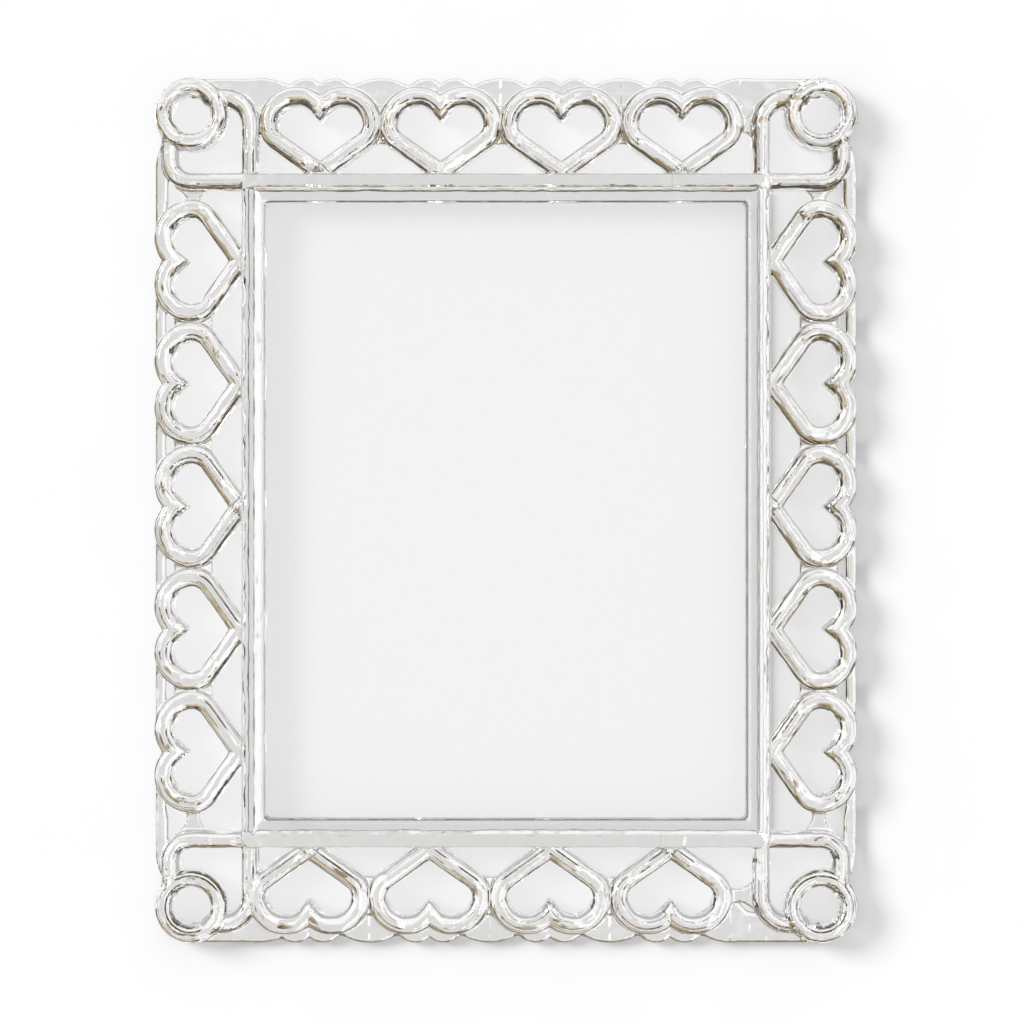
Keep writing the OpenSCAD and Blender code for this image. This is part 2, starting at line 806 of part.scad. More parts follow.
// Hanger strip: two flat ears on the board and a raised middle with teeth
module sawtooth_hanger() {
    ear = hanger_h * 0.7;
    mid_w = hanger_w - 2 * ear;
    pitch = mid_w / hanger_teeth;
    color(steel)
        stand()
            translate([0, hanger_y, 0])
                difference() {
                    union() {
                        translate([-hanger_w / 2, -hanger_h / 2, -hanger_t])
                            cube([ear + hanger_t, hanger_h, hanger_t]);
                        translate([mid_w / 2 - hanger_t, -hanger_h / 2, -hanger_t])
                            cube([ear + hanger_t, hanger_h, hanger_t]);
                        translate([-mid_w / 2 - hanger_t / 2, -hanger_h / 2, -hanger_off - hanger_t])
                            cube([hanger_t, hanger_h, hanger_off + hanger_t]);
                        translate([mid_w / 2 - hanger_t / 2, -hanger_h / 2, -hanger_off - hanger_t])
                            cube([hanger_t, hanger_h, hanger_off + hanger_t]);
                        translate([-mid_w / 2, -hanger_h / 2, -hanger_off - hanger_t])
                            cube([mid_w, hanger_h, hanger_t]);
                    }
                    for (i = [1:hanger_teeth - 1]) {
                        translate([-mid_w / 2 + i * pitch, -hanger_h / 2, -hanger_off - hanger_t - over])
                            linear_extrude(hanger_t + 2 * over)
                                polygon([[-pitch * 0.4, -over], [0, tooth_h], [pitch * 0.4, -over]]);
                    }
                    for (s = [-1, 1]) {
                        translate([s * hanger_nail_x, 0, -hanger_t - over])
                            cylinder(r = nail_r, h = hanger_t + 2 * over);
                    }
                }
}

module hanger_nails() {
    color(steel)
        stand()
            for (s = [-1, 1]) {
                translate([s * hanger_nail_x, hanger_y, -hanger_t]) {
                    cylinder(r = nail_r, h = hanger_t + board_t / 2);
                    translate([0, 0, -nail_head_h])
                        cylinder(r = nail_head_r, h = nail_head_h);
                }
            }
}

end_rail(0);  // rail_top
end_rail(half_turn);  // rail_bottom
side_rail(quarter_turn);  // rail_left
side_rail(-quarter_turn);  // rail_right
for (i = [1:TOP_HEARTS]) {
    end_pilot = i == 1 || i == TOP_HEARTS;
    union() {
        end_heart(i - 1, false, end_pilot);
    }
    union() {
        end_heart(i - 1, true, end_pilot);
    }
}
for (i = [1:SIDE_HEARTS]) {
    side_pilot = 2 * i == SIDE_HEARTS + 1;
    union() {
        side_heart(i - 1, false, side_pilot);
    }
    union() {
        side_heart(i - 1, true, side_pilot);
    }
}
knot(false, false);  // knot_top_left
knot(true, false);  // knot_top_right
knot(false, true);  // knot_bottom_left
knot(true, true);  // knot_bottom_right
window_pane();
blank_insert();
backing_board();
hinge_plate();
hinge_rivets();
hinge_pin();
leg_bracket();
leg_rivets();
easel_leg();
for (i = [1:len(buttons)]) {
    union() {
        turn_button(buttons[i - 1]);
    }
}
button_pins();
sawtooth_hanger();
hanger_nails();
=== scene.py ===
import json
import math

import bmesh
import bpy
import numpy as np
from mathutils import Matrix, Vector

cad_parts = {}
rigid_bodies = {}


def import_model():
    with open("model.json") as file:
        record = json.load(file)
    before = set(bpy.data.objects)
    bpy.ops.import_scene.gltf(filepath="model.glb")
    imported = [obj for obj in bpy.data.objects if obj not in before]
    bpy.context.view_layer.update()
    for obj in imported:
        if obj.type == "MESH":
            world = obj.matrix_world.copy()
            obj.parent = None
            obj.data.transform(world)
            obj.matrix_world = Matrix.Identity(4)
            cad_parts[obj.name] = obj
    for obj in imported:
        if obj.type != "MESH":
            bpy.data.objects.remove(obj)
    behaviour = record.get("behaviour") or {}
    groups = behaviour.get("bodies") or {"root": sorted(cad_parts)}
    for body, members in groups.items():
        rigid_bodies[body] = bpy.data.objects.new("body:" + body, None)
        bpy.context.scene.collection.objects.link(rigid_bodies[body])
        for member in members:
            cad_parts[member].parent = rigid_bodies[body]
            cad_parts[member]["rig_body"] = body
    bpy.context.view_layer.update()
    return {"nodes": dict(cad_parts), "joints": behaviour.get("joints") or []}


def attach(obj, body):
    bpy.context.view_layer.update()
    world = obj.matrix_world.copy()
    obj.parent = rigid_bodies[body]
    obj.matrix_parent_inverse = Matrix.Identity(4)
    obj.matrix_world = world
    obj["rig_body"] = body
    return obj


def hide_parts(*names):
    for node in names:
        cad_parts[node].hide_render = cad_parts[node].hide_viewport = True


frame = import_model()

MM = 0.001

# Sizes of the solids, in millimetres, on the flat frame: X across, Y up, W from the back forwards
LEAN = math.radians(14)
HALF_W, HALF_H = 139.0, 171.0
SIGHT_X, SIGHT_Y, SIGHT_R = 94.5, 121.2, 1.6
RAIL_SIDE_W, RAIL_END_W = 9.6, 11.4
RAIL_X, RAIL_Y = SIGHT_X + RAIL_SIDE_W, SIGHT_Y + RAIL_END_W
RAIL_D, RAIL_CORNER = 18.0, 4.5
REBATE_X, REBATE_Y, LIP = 102.2, 127.6, 5.5
BORDER_X, BORDER_Y = HALF_W - RAIL_X, HALF_H - RAIL_Y
KNOT_W, KNOT_H = 41.8, 44.8
KNOT_X, KNOT_Y = HALF_W - KNOT_W, HALF_H - KNOT_H
STRAND_W, STRAND_D = 7.7, 14.0
LOBE_R, LOBE_X, LOBE_Y, SIDE_R, TIP_Y = 11.4, 9.1, 19.6, 8.0, 0.9
BULGE = LOBE_X + LOBE_R
PITCH_END, PITCH_SIDE = 47.6, 48.4
FIRST_TOP, FIRST_BOTTOM, FIRST_SIDE = 23.8, 19.4, 27.8
TOP_HEARTS, SIDE_HEARTS = 4, 5
KNOT_STRAND_W, RING_D, RING_R, LOOP_D = 7.3, 15.0, 11.1, 13.0
RING_C = RING_R + KNOT_STRAND_W / 2
LOOP_FAR_R, LOOP_NEAR_R, LOOP_NEAR_X, LOOP_NEAR_Y = 11.0, 8.5, 6.5, 7.9
RIM_D, RIM_SIDE_W, RIM_END_W = 6.0, 5.0, 4.4
SCALLOP_H, SCALLOP_R, PETAL_R, PETAL_X = 2.8, 22.0, 9.0, 5.6
LINK_W, LINK_D = 5.0, 9.0
HINGE_Y, HINGE_Z = 50.0, -3.7

# Finer shapes of the moulding: sections, and where the strands and links end
DRAFT, ROUND_SHARE, ROUND_N = 0.04, 0.32, 2.3
RING_ROUND, LOOP_ROUND = 0.44, 0.46
NOTCH_LAP, LOOP_START, LINK_LAP = 2.5, 0.65, 3.0
FLARE_H, FLARE_END = 2.6, 1.3
LINK_ROUND, LINK_SLOPE, LINK_SET = 1.2, 0.6, 4.4
WEB_HALF, WEB_REACH = 7.4, 4.0
RIM_END_R, RIM_SIDE_R = 1.6, 1.4

# The end rim beside a knot, measured back from the knot's side, with a short web to the knot
SHOULDER_START, SHOULDER_FOOT, SHOULDER_RUN = 17.0, 16.0, 15.0
SHOULDER_DROP, SHOULDER_WIDER, SHOULDER_LAP = 0.2, 0.8, 2.0
KNOT_WEB_H, KNOT_WEB_AT, KNOT_WEB_HALF, KNOT_WEB_N = 4.6, 1.0, 9.0, 0.7

# The side rim: a dip at each heart's notch, wider near the corners and tapered at its ends
DIP_H, DIP_SPAN, DIP_BASE = 2.9, 22.0, 0.5
TAPER_H, TAPER_FROM, TAPER_RUN = 2.4, 135.0, 10.0
WIDEN_H, WIDEN_FROM, WIDEN_RUN = 0.9, 117.0, 5.0

# How softly the forms run into each other, in millimetres, and the mitres in shares of a rail
STRAND_FOOT, STRAND_END, PETAL_BLEND, SHOULDER_BLEND = 0.5, 0.3, 0.6, 0.8
LINK_BLEND, RIM_BLEND, KNOT_BLEND, RAIL_BLEND = 1.0, 0.9, 0.8, 0.7
RAIL_EDGE_BLEND, SIGHT_BLEND, MITRE_BLEND = 0.6, 0.5, 0.18

# A rail's crest across its width, in shares of width and depth, and a scale for its slope
RAIL_OUTLINE = ((0.0, 0.84), (0.03, 0.918), (0.1, 0.95), (0.4, 0.98), (0.52, 1.0), (0.84, 0.972),
                (0.97, 0.955), (1.0, 0.86))
RAIL_TOP_SCALE = 0.93

# Bounds that never cut: far beyond the border, and behind a middle line
FAR, PAST_MIDDLE = 200.0, -1.0

# The standing frame's place is read from the leg's hinge
AX = Vector((1, 0, 0))
AY = Vector((0, math.sin(LEAN), math.cos(LEAN)))
AW = Vector((0, -math.cos(LEAN), math.sin(LEAN)))
AXES = Matrix(((AX.x, AY.x, AW.x, 0), (AX.y, AY.y, AW.y, 0), (AX.z, AY.z, AW.z, 0), (0, 0, 0, 1)))
HINGE = Vector(next(j["pos_m"] for j in frame["joints"] if j["name"] == "leg_hinge"))
ORIGIN = HINGE - AY * (HINGE_Y * MM) - AW * (HINGE_Z * MM)


def place(x, y, w):
    """The world place of a point of the flat frame, given in millimetres."""
    return ORIGIN + AX * (x * MM) + AY * (y * MM) + AW * (w * MM)


# The moulding as one implicit body

def smooth_min(a, b, k):
    h = np.maximum(k - np.abs(a - b), 0) / k
    return np.minimum(a, b) - h * h * k * 0.25


def smooth_max(a, b, k):
    return -smooth_min(-a, -b, k)


def to_segment(px, py, a, b):
    ax, ay = a
    dx, dy = b[0] - ax, b[1] - ay
    t = np.clip(((px - ax) * dx + (py - ay) * dy) / (dx * dx + dy * dy), 0, 1)
    return np.hypot(px - ax - t * dx, py - ay - t * dy)


def to_arc(px, py, c, r, a0, a1):
    dx, dy = px - c[0], py - c[1]
    off = np.abs((np.degrees(np.arctan2(dy, dx)) - (a0 + a1) / 2 + 180) % 360 - 180)
    ends = [np.hypot(dx - r * math.cos(math.radians(a)), dy - r * math.sin(math.radians(a)))
            for a in (a0, a1)]
    return np.where(off <= (a1 - a0) / 2, np.abs(np.hypot(dx, dy) - r), np.minimum(*ends))


FLANK_TO = (LOBE_X + LOBE_R - SIDE_R, LOBE_Y - TIP_Y)
FLANK_A = math.degrees(math.atan2(FLANK_TO[1], FLANK_TO[0])) \
    - math.degrees(math.asin(SIDE_R / math.hypot(*FLANK_TO)))
FLANK_L = math.sqrt(FLANK_TO[0] ** 2 + FLANK_TO[1] ** 2 - SIDE_R ** 2)
FLANK_END = (FLANK_L * math.cos(math.radians(FLANK_A)),
             TIP_Y + FLANK_L * math.sin(math.radians(FLANK_A)))


def to_heart(t, v):
    """Distance in plan to the middle line of a heart whose axis is at t = 0."""
    t = np.abs(t)
    d = to_segment(t, v, (0, TIP_Y), FLANK_END)
    d = np.minimum(d, to_arc(t, v, (FLANK_TO[0], LOBE_Y), SIDE_R, FLANK_A - 90, 0))
    notch = math.acos(-LOBE_X / LOBE_R)
    meet = LOBE_Y + LOBE_R * math.sin(notch)
    d = np.minimum(d, to_arc(t, v, (LOBE_X, LOBE_Y), LOBE_R, 0, math.degrees(notch)))
    over = (-NOTCH_LAP * math.sin(notch), meet + NOTCH_LAP * math.cos(notch))
    return np.minimum(d, to_segment(t, v, (0, meet), over))


def strand(d, w, half, depth, share=ROUND_SHARE):
    """A strand's section: drafted walls under a half-round crest."""
    crown = share * depth
    wall = half * (1 - DRAFT * np.clip(w / (depth - crown), 0, 1))
    over = np.maximum(w - depth + crown, 0) / crown
    body = (np.power(np.power(d / wall, ROUND_N) + np.power(over, ROUND_N), 1 / ROUND_N) - 1) * wall
    return smooth_max(body, -w, STRAND_FOOT)


def slab(area, w, depth, round_r):
    """A plan of signed distance, raised to a depth, with rounded edges."""
    a = area + round_r
    b = np.maximum(w - depth, -w) + round_r
    return np.minimum(np.maximum(a, b), 0) + np.hypot(np.maximum(a, 0), np.maximum(b, 0)) - round_r


def box2(px, py, x0, x1, y0, y1):
    return np.maximum(np.maximum(x0 - px, px - x1), np.maximum(y0 - py, py - y1))


def rounded(px, py, r):
    """Signed distance in plan to a corner of radius r about 0, 0, with straight sides."""
    return np.hypot(np.maximum(px, 0), np.maximum(py, 0)) - r + np.minimum(np.maximum(px, py), 0)


def end_rim(t, v, x):
    """Plan of the scalloped rim about one heart of the top or bottom row."""
    rim_top = BORDER_Y - SCALLOP_H
    shoulder = LOBE_Y + LOBE_R
    t = np.abs(t)
    g = np.abs(t - PITCH_END / 2)
    area = box2(x, v, -FAR, FAR, rim_top - RIM_END_W, rim_top)
    petal = np.maximum(np.hypot(t - PETAL_X, v - BORDER_Y + PETAL_R) - PETAL_R, shoulder - v)
    bulge = np.maximum(np.hypot(g, v - BORDER_Y + SCALLOP_R) - SCALLOP_R,
                       box2(g, v, PAST_MIDDLE, LOBE_R, shoulder, BORDER_Y))
    foot = (STRAND_W / 3, LOBE_Y + STRAND_W / 4)
    nx, ny = shoulder - foot[1], foot[0] - LOBE_R
    wedge = np.maximum(((g - foot[0]) * nx + (v - foot[1]) * ny) / math.hypot(nx, ny),
                       box2(g, v, PAST_MIDDLE, LOBE_R, foot[1], rim_top - RIM_END_W / 2))
    for form in (petal, bulge, wedge):
        area = smooth_min(area, form, PETAL_BLEND)
    return area


def rim_shoulder(ax, v):
    """Plan of the end rim between the last heart and the corner."""
    rise = np.clip((ax - KNOT_X + SHOULDER_FOOT) / SHOULDER_RUN, 0, 1)
    crown = BORDER_Y - SHOULDER_DROP - SCALLOP_H * (1 - rise * rise * (3 - 2 * rise))
    near = np.clip(1 - np.abs(ax - KNOT_X + KNOT_WEB_AT) / KNOT_WEB_HALF, 0, 1)
    low = BORDER_Y - SCALLOP_H - RIM_END_W - SHOULDER_WIDER * rise - KNOT_WEB_H * near ** KNOT_WEB_N
    return np.maximum(np.maximum(v - crown, low - v),
                      np.maximum(KNOT_X - SHOULDER_START - ax, ax - HALF_W + RING_C))


def side_rim(ay, t, v):
    """Plan of the side rim."""
    notch = np.maximum(0, np.cos(np.pi * np.clip(t / DIP_SPAN, -0.5, 0.5))) ** 2
    dip = DIP_H * notch - DIP_BASE + TAPER_H * np.clip((ay - TAPER_FROM) / TAPER_RUN, 0, 1) ** 2
    inner = BORDER_X - RIM_SIDE_W - WIDEN_H * np.clip((ay - WIDEN_FROM) / WIDEN_RUN, 0, 1)
    return box2(v + dip, ay, inner, BORDER_X - STRAND_W / 8, PAST_MIDDLE, HALF_H - RING_C - RING_R)


def flare(off, half):
    """How far a link widens towards its two ends."""
    return FLARE_H * np.clip(np.abs(off) / np.maximum(half, 1), 0, FLARE_END) ** 2


def web(s, t, v, pitch, count):
    """Where neighbouring hearts of a row are joined beside their lobes."""
    between = np.maximum(-s, s - (count - 1) * pitch)
    beside = np.abs(np.abs(t) - pitch / 2) - WEB_REACH
    return np.maximum(np.maximum(np.abs(v - LOBE_Y) - WEB_HALF + LINK_W / 2, beside), between)


def end_links(x, v, s, t, first):
    """Plan of the link from an end row to its knot, and of the webs in the row."""
    last_x = first - KNOT_X + (TOP_HEARTS - 1) * PITCH_END
    mid = (last_x + BULGE + KNOT_X) / 2
    link = np.maximum(np.abs(v - LOBE_Y) - flare(x - mid, (KNOT_X - last_x - BULGE) / 2),
                      np.maximum(last_x + BULGE - x, x - KNOT_X - LINK_LAP))
    return np.minimum(link, web(s, t, v, PITCH_END, TOP_HEARTS))


def side_links(y, v, s, t):
    """Plan of the links from a side row to its two knots, and of the webs in the row."""
    top_y = KNOT_Y - FIRST_SIDE
    low_y = top_y - (SIDE_HEARTS - 1) * PITCH_SIDE
    reach = np.maximum(y - KNOT_Y - LINK_LAP, top_y + BULGE - y)
    reach = np.where(y < 0, np.maximum(-y - KNOT_Y - LINK_LAP, y - low_y + BULGE), reach)
    mid = np.where(y < 0, (low_y - BULGE - KNOT_Y) / 2, (top_y + BULGE + KNOT_Y) / 2)
    half = np.where(y < 0, (low_y - BULGE + KNOT_Y) / 2, (KNOT_Y - top_y - BULGE) / 2)
    link = np.maximum(np.abs(v - LOBE_Y) - flare(y - mid, half), reach)
    return np.minimum(link, web(s, t, v, PITCH_SIDE, SIDE_HEARTS))


def to_loop(kx, ky):
    """Distance in plan to the middle line of a knot's loop, measured from the outer corner."""
    far_x, far_y = KNOT_W - KNOT_STRAND_W / 2, KNOT_H - KNOT_STRAND_W / 2
    far_c = (far_x - LOOP_FAR_R, LOOP_NEAR_Y + LOOP_FAR_R)
    near_c = (LOOP_NEAR_X + LOOP_NEAR_R, far_y - LOOP_NEAR_R)
    start = RING_C + RING_R * LOOP_START
    return np.minimum.reduce((
        to_segment(kx, ky, (start, LOOP_NEAR_Y), (far_c[0], LOOP_NEAR_Y)),
        to_arc(kx, ky, far_c, LOOP_FAR_R, -90, 0),
        to_segment(kx, ky, (far_x, far_c[1]), (far_x, BORDER_Y)),
        to_segment(kx, ky, (near_c[0], far_y), (BORDER_X, far_y)),
        to_arc(kx, ky, near_c, LOOP_NEAR_R, 90, 180),
        to_segment(kx, ky, (LOOP_NEAR_X, start), (LOOP_NEAR_X, near_c[1]))))


def plan(x, y):
    """All that depends on a place in plan alone."""
    ax, ay = np.abs(x), np.abs(y)
    v_end, v_side = ay - RAIL_Y, ax - RAIL_X
    first = np.where(y > 0, FIRST_TOP, FIRST_BOTTOM)
    s_end, s_side = x + KNOT_X - first, KNOT_Y - y - FIRST_SIDE
    t_end = s_end - np.clip(np.round(s_end / PITCH_END), 0, TOP_HEARTS - 1) * PITCH_END
    t_side = s_side - np.clip(np.round(s_side / PITCH_SIDE), 0, SIDE_HEARTS - 1) * PITCH_SIDE
    kx, ky = HALF_W - ax, HALF_H - ay
    core_x, core_y = RAIL_X - RAIL_CORNER, RAIL_Y - RAIL_CORNER
    scallops = np.maximum(end_rim(t_end, v_end, x), ax - KNOT_X - SHOULDER_LAP)
    return {
        "v_end": v_end,
        "v_side": v_side,
        "heart_end": to_heart(t_end, v_end),
        "heart_side": to_heart(t_side, v_side),
        "link_end": end_links(x, v_end, s_end, t_end, first),
        "link_side": side_links(y, v_side, s_side, t_side),
        "rim_end": smooth_min(scallops, rim_shoulder(ax, v_end), SHOULDER_BLEND),
        "rim_side": side_rim(ay, t_side, v_side),
        "ring": np.abs(np.hypot(kx - RING_C, ky - RING_C) - RING_R),
        "loop": to_loop(kx, ky),
        "rail_s": smooth_max((ax - SIGHT_X) / RAIL_SIDE_W, (ay - SIGHT_Y) / RAIL_END_W, MITRE_BLEND),
        "rail_out": rounded(ax - core_x, ay - core_y, RAIL_CORNER),
        "sight": -rounded(ax - SIGHT_X + SIGHT_R, ay - SIGHT_Y + SIGHT_R, SIGHT_R),
        "rebate": np.maximum(ax - REBATE_X, ay - REBATE_Y),
    }


def body(p, w):
    """Signed distance to the moulding's surface, negative inside."""
    half, knot_half = STRAND_W / 2, KNOT_STRAND_W / 2
    end = smooth_max(strand(p["heart_end"], w, half, STRAND_D), -p["v_end"], STRAND_END)
    side = smooth_max(strand(p["heart_side"], w, half, STRAND_D), -p["v_side"], STRAND_END)
    f = np.minimum(end, side)
    for link in (p["link_end"], p["link_side"]):
        area = np.maximum(link - LINK_W / 2, LINK_SLOPE * w - LINK_SET)
        f = smooth_min(f, slab(area, w, LINK_D, LINK_ROUND), LINK_BLEND)
    f = smooth_min(f, slab(p["rim_end"], w, RIM_D, RIM_END_R), RIM_BLEND)
    f = smooth_min(f, slab(p["rim_side"], w, RIM_D, RIM_SIDE_R), RIM_BLEND)
    ring = strand(p["ring"], w, knot_half, RING_D, RING_ROUND)
    loop = strand(p["loop"], w, knot_half, LOOP_D, LOOP_ROUND)
    f = smooth_min(f, smooth_min(ring, loop, KNOT_BLEND), KNOT_BLEND)
    top = np.interp(p["rail_s"], [s for s, h in RAIL_OUTLINE], [h * RAIL_D for s, h in RAIL_OUTLINE])
    rail = smooth_max((w - top) * RAIL_TOP_SCALE, p["rail_out"], RAIL_EDGE_BLEND)
    rail = smooth_max(rail, p["sight"], SIGHT_BLEND)
    rebate = np.maximum(p["rebate"], w - LIP)
    rail = np.maximum(np.maximum(rail, -w), -rebate)
    return np.maximum(smooth_min(f, rail, RAIL_BLEND), -rebate)


# The net's settings: how far it is drawn to the surface, and where slopes are measured
DRAWS, DRAW_SHARE, DRIFT_SHARE = 2, 0.4, 0.6
SLOPE_H, NORMAL_H = 0.08, 0.12


def samples(low, high, step):
    """Places along an axis that pass both ends by more than a step."""
    return np.arange(low - 1.5 * step, high + 2.5 * step, step, dtype=np.float64)


def surface(step):
    """Surface nets over the implicit body, with its vertices drawn onto the true surface."""
    xs, ys = samples(-HALF_W, HALF_W, step), samples(-HALF_H, HALF_H, step)
    ws = samples(0, RAIL_D, step)
    gx, gy = np.meshgrid(xs, ys, indexing="ij")
    p = plan(gx, gy)
    f = np.stack([body(p, w) for w in ws], axis=2).astype(np.float32)
    inside = f < 0
    corners = [(i, j, k) for i in (0, 1) for j in (0, 1) for k in (0, 1)]
    nx, ny, nz = (n - 1 for n in f.shape)

    def corner(a, c):
        return a[c[0]:c[0] + nx, c[1]:c[1] + ny, c[2]:c[2] + nz]

    count = sum(corner(inside, c).astype(np.uint8) for c in corners)
    cells = np.argwhere((count > 0) & (count < 8))
    index = np.full((nx, ny, nz), -1, np.int32)
    index[tuple(cells.T)] = np.arange(len(cells))
    vals = {c: f[cells[:, 0] + c[0], cells[:, 1] + c[1], cells[:, 2] + c[2]] for c in corners}
    total, hits = np.zeros((len(cells), 3)), np.zeros(len(cells))
    for c in corners:
        for axis in range(3):
            if c[axis]:
                continue
            d = tuple(c[n] + (n == axis) for n in range(3))
            a, b = vals[c].astype(np.float64), vals[d].astype(np.float64)
            cross = (a < 0) != (b < 0)
            t = np.where(cross, a / np.where(cross, a - b, 1), 0)
            point = np.array(c, float)[None, :] + np.eye(3)[axis][None, :] * t[:, None]
            total += point * cross[:, None]
            hits += cross
    local = total / hits[:, None]
    low = np.array((xs[0], ys[0], ws[0]))
    verts = (cells + local) * step + low
    quads = []
    for axis in range(3):
        u, v = (axis + 1) % 3, (axis + 2) % 3
        a = np.moveaxis(inside, axis, 0)
        flip = np.moveaxis(a[1:] & ~a[:-1], 0, axis)
        keep = np.moveaxis(a[:-1] & ~a[1:], 0, axis)
        for mask, turn in ((keep, False), (flip, True)):
            at = np.argwhere(mask)
            at = at[(at[:, u] > 0) & (at[:, v] > 0)]
            ring = []
            for du, dv in ((1, 1), (0, 1), (0, 0), (1, 0)):
                q = at.copy()
                q[:, u] -= du
                q[:, v] -= dv
                ring.append(index[q[:, 0], q[:, 1], q[:, 2]])
            quad = np.stack(ring, axis=1)
            quads.append(quad[:, ::-1] if turn else quad)
    quads = np.concatenate(quads)

    def value(q):
        return body(plan(q[:, 0], q[:, 1]), q[:, 2])

    def slope(q, h):
        g = np.stack([value(q + np.eye(3)[n] * h) - value(q - np.eye(3)[n] * h)
                      for n in range(3)], axis=1)
        return g / np.maximum(np.linalg.norm(g, axis=1, keepdims=True), 1e-9)

    start = verts.copy()
    for _ in range(DRAWS):
        n = slope(verts, SLOPE_H)
        verts -= n * np.clip(value(verts), -DRAW_SHARE * step, DRAW_SHARE * step)[:, None]
    moved = verts - start
    far = np.linalg.norm(moved, axis=1, keepdims=True)
    verts = start + moved * np.minimum(1, DRIFT_SHARE * step / np.maximum(far, 1e-9))
    return verts, quads, slope(verts, NORMAL_H)


OFF_RAIL = 4.0


def across(p):
    """Distance from the nearest strand's middle line, kept off the rails."""
    d = np.minimum(np.minimum(p["heart_end"] + OFF_RAIL * np.maximum(-p["v_end"], 0),
                              p["heart_side"] + OFF_RAIL * np.maximum(-p["v_side"], 0)),
                   np.minimum(p["ring"], p["loop"]))
    return d + OFF_RAIL * np.maximum(-np.maximum(p["v_end"], p["v_side"]), 0)


def add_object(name, mesh, body_name, smooth=True):
    obj = bpy.data.objects.new(name, mesh)
    bpy.context.scene.collection.objects.link(obj)
    if smooth:
        mesh.shade_smooth()
    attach(obj, body_name)
    return obj


# How much of its light the moulding takes: more towards the right and the low side of the
# border, from OUTWARD_FROM inside its outline, and on the rails of those two sides
OUTWARD_FROM, OUTWARD_RUN, OUTWARD_RAIL, OUTWARD_RAIL_LIT = 11.0, 9.0, 0.16, 0.12
# The next number: how far inside the sight edge the painted shade line begins, in millimetres
PAINTED_LINE_NEAR = 1.0


def make_moulding(step):
    verts, quads, normals = surface(step)
    rot = np.array(AXES)[:3, :3]
    world = verts @ rot.T * MM + np.array(ORIGIN)
    mesh = bpy.data.meshes.new("moulding")
    mesh.vertices.add(len(world))
    mesh.vertices.foreach_set("co", world.astype(np.float32).ravel())
    mesh.loops.add(len(quads) * 4)
    mesh.loops.foreach_set("vertex_index", quads.astype(np.int32).ravel())
    mesh.polygons.add(len(quads))
    mesh.polygons.foreach_set("loop_start", np.arange(0, len(quads) * 4, 4, dtype=np.int32))
    mesh.update(calc_edges=True)
    x, y = verts[:, 0], verts[:, 1]
    p = plan(x, y)
    on_rail = np.clip(-np.maximum(p["v_end"], p["v_side"]), 0, 1)
    outward = np.clip((np.maximum(x - HALF_W, -y - HALF_H) + OUTWARD_FROM) / OUTWARD_RUN, 0, 1)
    rail_share = np.where((x > SIGHT_X) | (y < -SIGHT_Y), OUTWARD_RAIL, OUTWARD_RAIL_LIT)
    measures = {
        "across": across(p),
        "along_rail": p["rail_s"],
        "outward": np.maximum(outward, rail_share * on_rail),
        # The last measure marks where the painted shade line along the sight edge shows
        "painted_sight_shade": on_rail * ((x > SIGHT_X - PAINTED_LINE_NEAR) | (y < -SIGHT_Y + PAINTED_LINE_NEAR)),
    }
    for name, values in measures.items():
        mesh.attributes.new(name, "FLOAT", "POINT").data.foreach_set("value", values.astype(np.float32))
    mesh.validate()
    obj = add_object("moulding", mesh, "frame")
    mesh.normals_split_custom_set_from_vertices((normals @ rot.T).tolist())
    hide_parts(*[n for n in frame["nodes"] if n.split("_")[0] in ("rail", "heart", "knot")])
    return obj


# Materials

def new_material(name):
    mat = bpy.data.materials.new(name)
    mat.use_nodes = True
    tree = mat.node_tree
    shader = tree.nodes["Principled BSDF"]
    return mat, tree, shader


def grey(value):
    return (value, value, value)


def noise_at(tree, vector, scale, detail):
    tex = tree.nodes.new("ShaderNodeTexNoise")
    tex.inputs["Scale"].default_value = scale
    tex.inputs["Detail"].default_value = detail
    tree.links.new(vector, tex.inputs["Vector"])
    return tex.outputs["Fac"]


def noise(tree, scale, detail, stretch=None):
    source = tree.nodes.new("ShaderNodeTexCoord").outputs["Object"]
    if stretch:
        mapping = tree.nodes.new("ShaderNodeMapping")
        mapping.inputs["Scale"].default_value = stretch
        tree.links.new(source, mapping.inputs["Vector"])
        source = mapping.outputs["Vector"]
    return noise_at(tree, source, scale, detail)


def attribute(tree, name):
    """A measure that the mesh carries."""
    node = tree.nodes.new("ShaderNodeAttribute")
    node.attribute_name = name
    return node.outputs["Fac"]


def soft_step(tree, source, low, high):
    """Nought below low, one above high, and smooth between them."""
    node = tree.nodes.new("ShaderNodeMapRange")
    node.interpolation_type = "SMOOTHSTEP"
    node.inputs["From Min"].default_value = low
    node.inputs["From Max"].default_value = high
    tree.links.new(source, node.inputs["Value"])
    return node.outputs["Result"]


def see_through(tree, colour=(1, 1, 1)):
    node = tree.nodes.new("ShaderNodeBsdfTransparent")
    node.inputs["Color"].default_value = (*colour, 1)
    return node


def mixed_shader(tree, factor, a, b):
    node = tree.nodes.new("ShaderNodeMixShader")
    tree.links.new(factor, node.inputs["Fac"])
    tree.links.new(a, node.inputs[1])
    tree.links.new(b, node.inputs[2])
    return node.outputs["Shader"]


def to_surface(tree, shader):
    tree.links.new(shader, tree.nodes["Material Output"].inputs["Surface"])


def ramp(tree, source, low, high, socket):
    node = tree.nodes.new("ShaderNodeMapRange")
    node.inputs["To Min"].default_value = low
    node.inputs["To Max"].default_value = high
    tree.links.new(source, node.inputs["Value"])
    tree.links.new(node.outputs["Result"], socket)


def tint(tree, source, low, high, socket):
    node = tree.nodes.new("ShaderNodeValToRGB")
    node.color_ramp.elements[0].color = (*low, 1)
    node.color_ramp.elements[1].color = (*high, 1)
    node.color_ramp.elements[0].position = 0.3
    node.color_ramp.elements[1].position = 0.7
    tree.links.new(source, node.inputs["Fac"])
    tree.links.new(node.outputs["Color"], socket)


